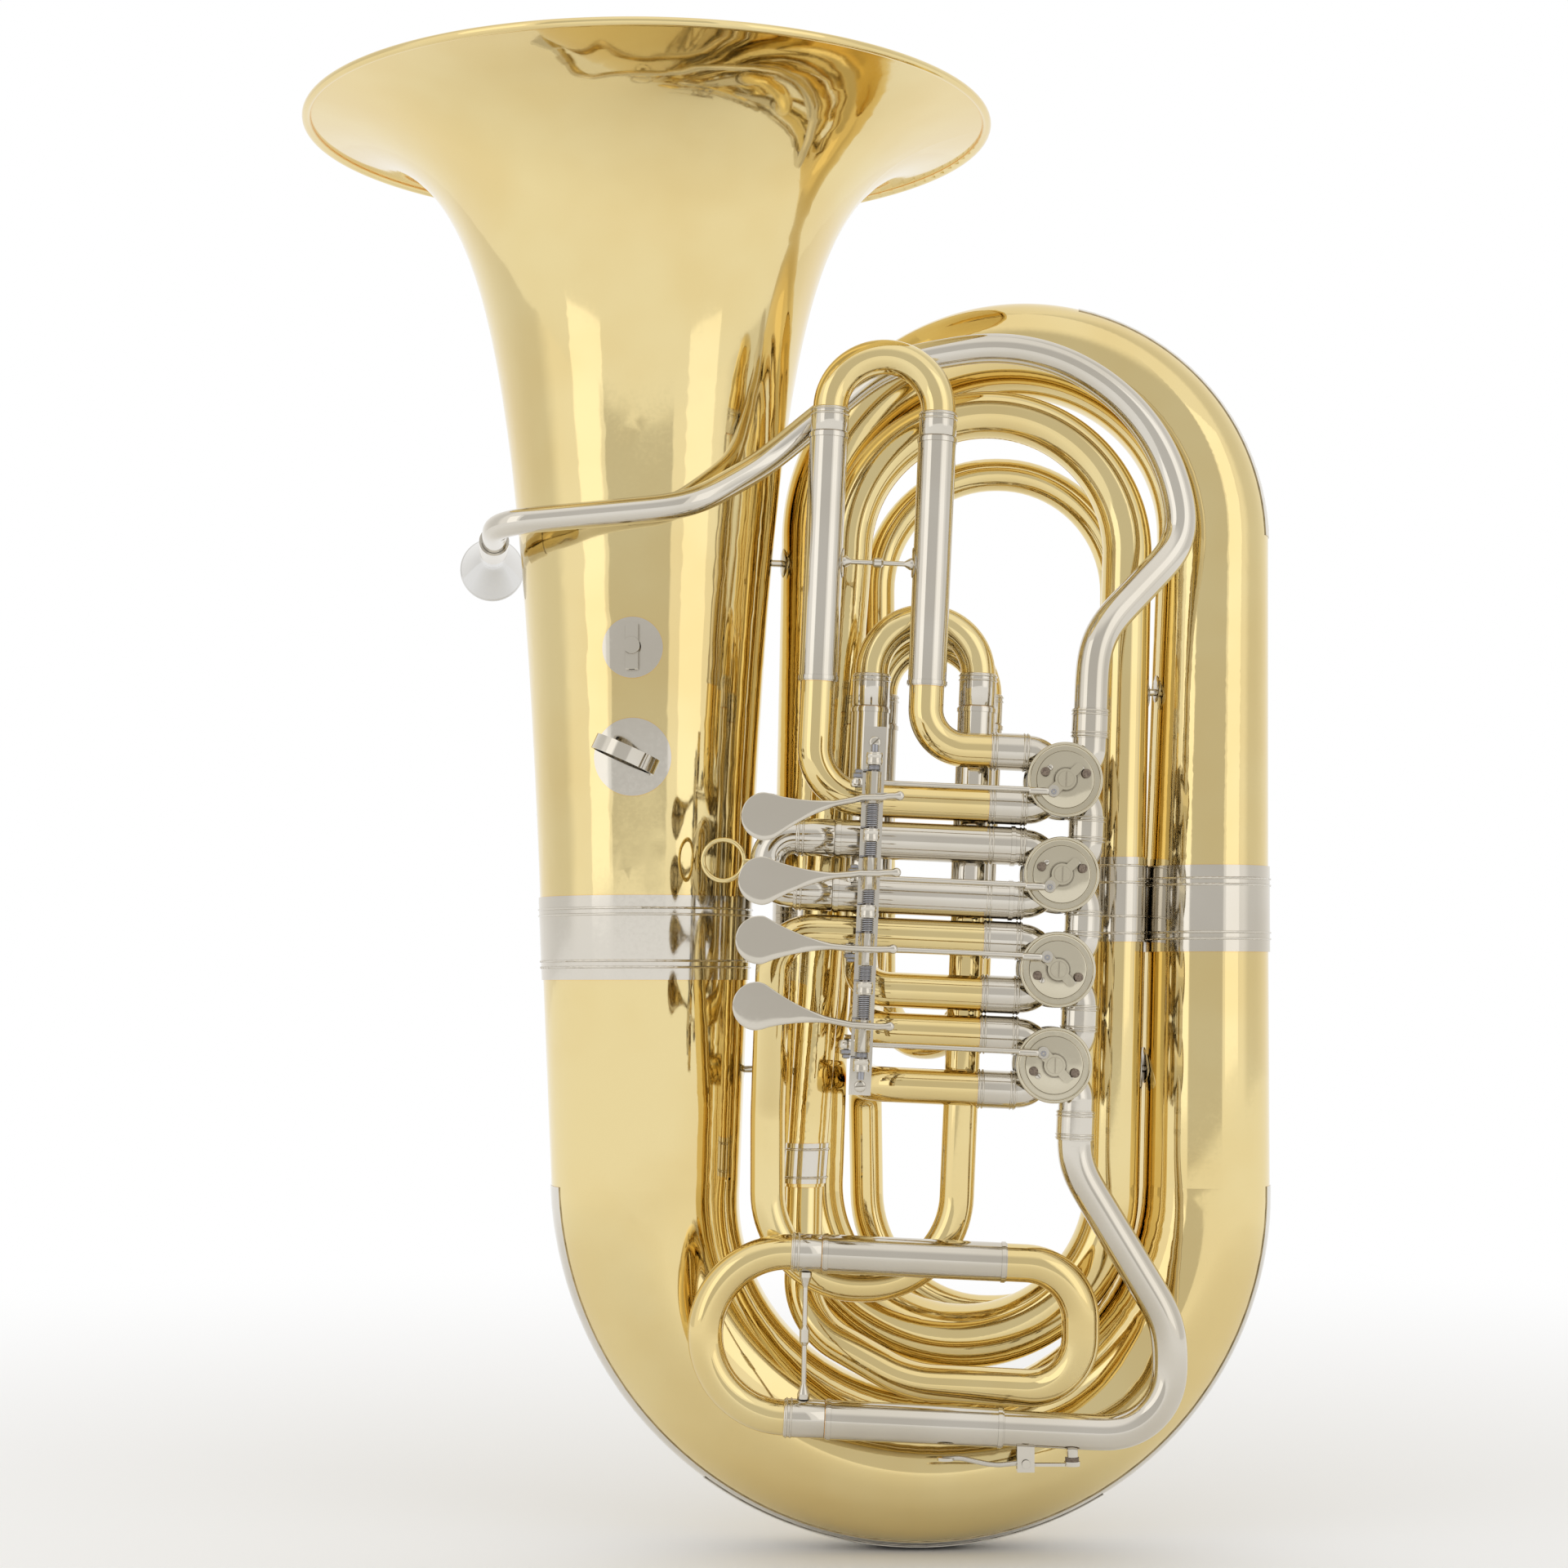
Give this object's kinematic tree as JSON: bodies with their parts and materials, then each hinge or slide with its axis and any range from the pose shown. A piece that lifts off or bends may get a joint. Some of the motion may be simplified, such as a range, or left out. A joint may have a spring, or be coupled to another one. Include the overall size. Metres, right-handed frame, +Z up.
{
  "type": "rotary valve tuba",
  "caption": "Upright brass tuba with a wide flared bell, coiled conical tubing, rotary valves with finger levers, and pull-out tuning slides.",
  "frame": {"origin": "lowest point of the bottom guard, under the middle of the big bottom bow, in the plane of the bell axis", "axes": "+Z up along the bell axis towards the rim, +X from the bell towards the outer leg, -Y towards the valves and levers"},
  "size_m": [0.5967, 0.4262, 0.8715],
  "materials": {
    "brass": "polished and clear lacquered",
    "nickel_silver": "polished",
    "rotor_brass": "fine turned",
    "spring_steel": "dark oiled steel",
    "cork": "matte cork",
    "silver_plate": "polished"
  },
  "bodies": {
    "horn": {"bell": "brass", "bottom_bow": "brass", "bow_guards": "nickel_silver", "braces": "nickel_silver", "branch_ferrules": "nickel_silver", "first_slide_elbows": "brass", "fourth_valve_tubing": "brass", "hand_ring": "nickel_silver", "inner_left_leg": "brass", "inner_right_leg": "brass", "inner_top_bow": "brass", "leadpipe": "nickel_silver", "lever_axle": "spring_steel", "lever_rail": "nickel_silver", "lever_springs": "spring_steel", "lyre_socket": "nickel_silver", "mouthpiece_receiver": "nickel_silver", "outer_leg": "brass", "outer_top_bow": "brass", "outlet_tube": "nickel_silver", "rear_bearings_and_caps": "nickel_silver", "second_left_leg": "brass", "slide_feed_bow": "brass", "slide_sleeves": "nickel_silver", "small_bottom_bow": "brass", "stop_corks": "cork", "stop_plates": "nickel_silver", "third_slide_tubing": "brass", "valve_casing_1": "nickel_silver", "valve_casing_2": "nickel_silver", "valve_casing_3": "nickel_silver", "valve_casing_4": "nickel_silver", "valve_knuckles": "nickel_silver", "water_key_saddle": "nickel_silver"},
    "rotor_1": {"rotor_1": "rotor_brass", "stop_arm_1": "nickel_silver"},
    "lever_1": {"lever_1": "nickel_silver"},
    "link_rod_1": {"link_rod_1": "nickel_silver"},
    "rotor_2": {"rotor_2": "rotor_brass", "stop_arm_2": "nickel_silver"},
    "lever_2": {"lever_2": "nickel_silver"},
    "link_rod_2": {"link_rod_2": "nickel_silver"},
    "rotor_3": {"rotor_3": "rotor_brass", "stop_arm_3": "nickel_silver"},
    "lever_3": {"lever_3": "nickel_silver"},
    "link_rod_3": {"link_rod_3": "nickel_silver"},
    "rotor_4": {"rotor_4": "rotor_brass", "stop_arm_4": "nickel_silver"},
    "lever_4": {"lever_4": "nickel_silver"},
    "link_rod_4": {"link_rod_4": "nickel_silver"},
    "main_slide": {"main_slide_crook": "brass", "main_slide_post": "nickel_silver"},
    "first_slide": {"first_slide_crook": "brass"},
    "second_slide": {"second_slide_crook": "brass"},
    "third_slide": {"third_slide_crook": "brass"},
    "fourth_slide": {"fourth_slide_crook": "brass"},
    "water_key": {"water_key": "nickel_silver", "water_key_cork": "cork"},
    "mouthpiece": {"mouthpiece": "silver_plate"},
    "lyre_screw": {"lyre_screw": "nickel_silver"}
  },
  "joints": [
    {"name": "lever_1", "type": "hinge", "parent": "horn", "child": "lever_1", "pos_m": [-0.03778, -0.1333, 0.37939], "axis": [-0.0454, 0, -0.999], "range_deg": [0, 28.1], "stiffness_Nm_per_rad": 0.25, "springref_deg": -20.05},
    {"name": "link_rod_1", "type": "hinge", "parent": "lever_1", "child": "link_rod_1", "pos_m": [-0.04605, -0.10446, 0.37977], "axis": [-0.0454, 0, -0.999], "range_deg": [-28.1, 0]},
    {"name": "rotor_1", "type": "hinge", "parent": "horn", "child": "rotor_1", "pos_m": [0.07816, -0.08, 0.45702], "axis": [0, -1, 0], "range_deg": [0, 90]},
    {"name": "lever_2", "type": "hinge", "parent": "horn", "child": "lever_2", "pos_m": [-0.03778, -0.1333, 0.37939], "axis": [-0.0454, 0, -0.999], "range_deg": [0, 28.1], "stiffness_Nm_per_rad": 0.25, "springref_deg": -20.05},
    {"name": "link_rod_2", "type": "hinge", "parent": "lever_2", "child": "link_rod_2", "pos_m": [-0.04605, -0.10446, 0.37977], "axis": [-0.0454, 0, -0.999], "range_deg": [-28.1, 0]},
    {"name": "rotor_2", "type": "hinge", "parent": "horn", "child": "rotor_2", "pos_m": [0.07565, -0.08, 0.40187], "axis": [0, -1, 0], "range_deg": [0, 90]},
    {"name": "lever_3", "type": "hinge", "parent": "horn", "child": "lever_3", "pos_m": [-0.03778, -0.1333, 0.37939], "axis": [-0.0454, 0, -0.999], "range_deg": [0, 28.1], "stiffness_Nm_per_rad": 0.25, "springref_deg": -20.05},
    {"name": "link_rod_3", "type": "hinge", "parent": "lever_3", "child": "link_rod_3", "pos_m": [-0.04605, -0.10446, 0.37977], "axis": [-0.0454, 0, -0.999], "range_deg": [-28.1, 0]},
    {"name": "rotor_3", "type": "hinge", "parent": "horn", "child": "rotor_3", "pos_m": [0.07315, -0.08, 0.34673], "axis": [0, 1, 0], "range_deg": [0, 90]},
    {"name": "lever_4", "type": "hinge", "parent": "horn", "child": "lever_4", "pos_m": [-0.03778, -0.1333, 0.37939], "axis": [-0.0454, 0, -0.999], "range_deg": [0, 28.1], "stiffness_Nm_per_rad": 0.25, "springref_deg": -20.05},
    {"name": "link_rod_4", "type": "hinge", "parent": "lever_4", "child": "link_rod_4", "pos_m": [-0.04605, -0.10446, 0.37977], "axis": [-0.0454, 0, -0.999], "range_deg": [-28.1, 0]},
    {"name": "rotor_4", "type": "hinge", "parent": "horn", "child": "rotor_4", "pos_m": [0.07064, -0.08, 0.29158], "axis": [0, 1, 0], "range_deg": [0, 90]},
    {"name": "main_slide", "type": "slide", "parent": "horn", "child": "main_slide", "axis": [-0.9989, 0, 0.0471], "range_m": [0, 0.06]},
    {"name": "first_slide", "type": "slide", "parent": "horn", "child": "first_slide", "axis": [0.0454, 0, 0.999], "range_m": [0, 0.06]},
    {"name": "second_slide", "type": "slide", "parent": "horn", "child": "second_slide", "axis": [-0.999, 0, 0.0454], "range_m": [0, 0.035]},
    {"name": "third_slide", "type": "slide", "parent": "horn", "child": "third_slide", "axis": [0.0454, 0, 0.999], "range_m": [0, 0.045]},
    {"name": "fourth_slide", "type": "slide", "parent": "horn", "child": "fourth_slide", "axis": [0.0454, 0, 0.999], "range_m": [0, 0.04]},
    {"name": "water_key", "type": "hinge", "parent": "horn", "child": "water_key", "pos_m": [0.054, -0.08, 0.0626], "axis": [0, 1, 0], "range_deg": [0, 7], "stiffness_Nm_per_rad": 0.02, "springref_deg": -17.19},
    {"name": "mouthpiece", "type": "slide", "parent": "horn", "child": "mouthpiece", "axis": [-0.1095, 0.993, -0.0438], "range_m": [0, 0.03]},
    {"name": "lyre_screw", "type": "hinge", "parent": "horn", "child": "lyre_screw", "pos_m": [-0.175, -0.08249, 0.537], "axis": [0, -1, 0], "range_deg": [0, 360]}
  ],
  "couplings": [
    {"joint": "link_rod_1", "follows": "lever_1", "ratio": -1},
    {"joint": "rotor_1", "follows": "lever_1", "ratio": 3.2},
    {"joint": "link_rod_2", "follows": "lever_2", "ratio": -1},
    {"joint": "rotor_2", "follows": "lever_2", "ratio": 3.2},
    {"joint": "link_rod_3", "follows": "lever_3", "ratio": -1},
    {"joint": "rotor_3", "follows": "lever_3", "ratio": 3.2},
    {"joint": "link_rod_4", "follows": "lever_4", "ratio": -1},
    {"joint": "rotor_4", "follows": "lever_4", "ratio": 3.2}
  ]
}
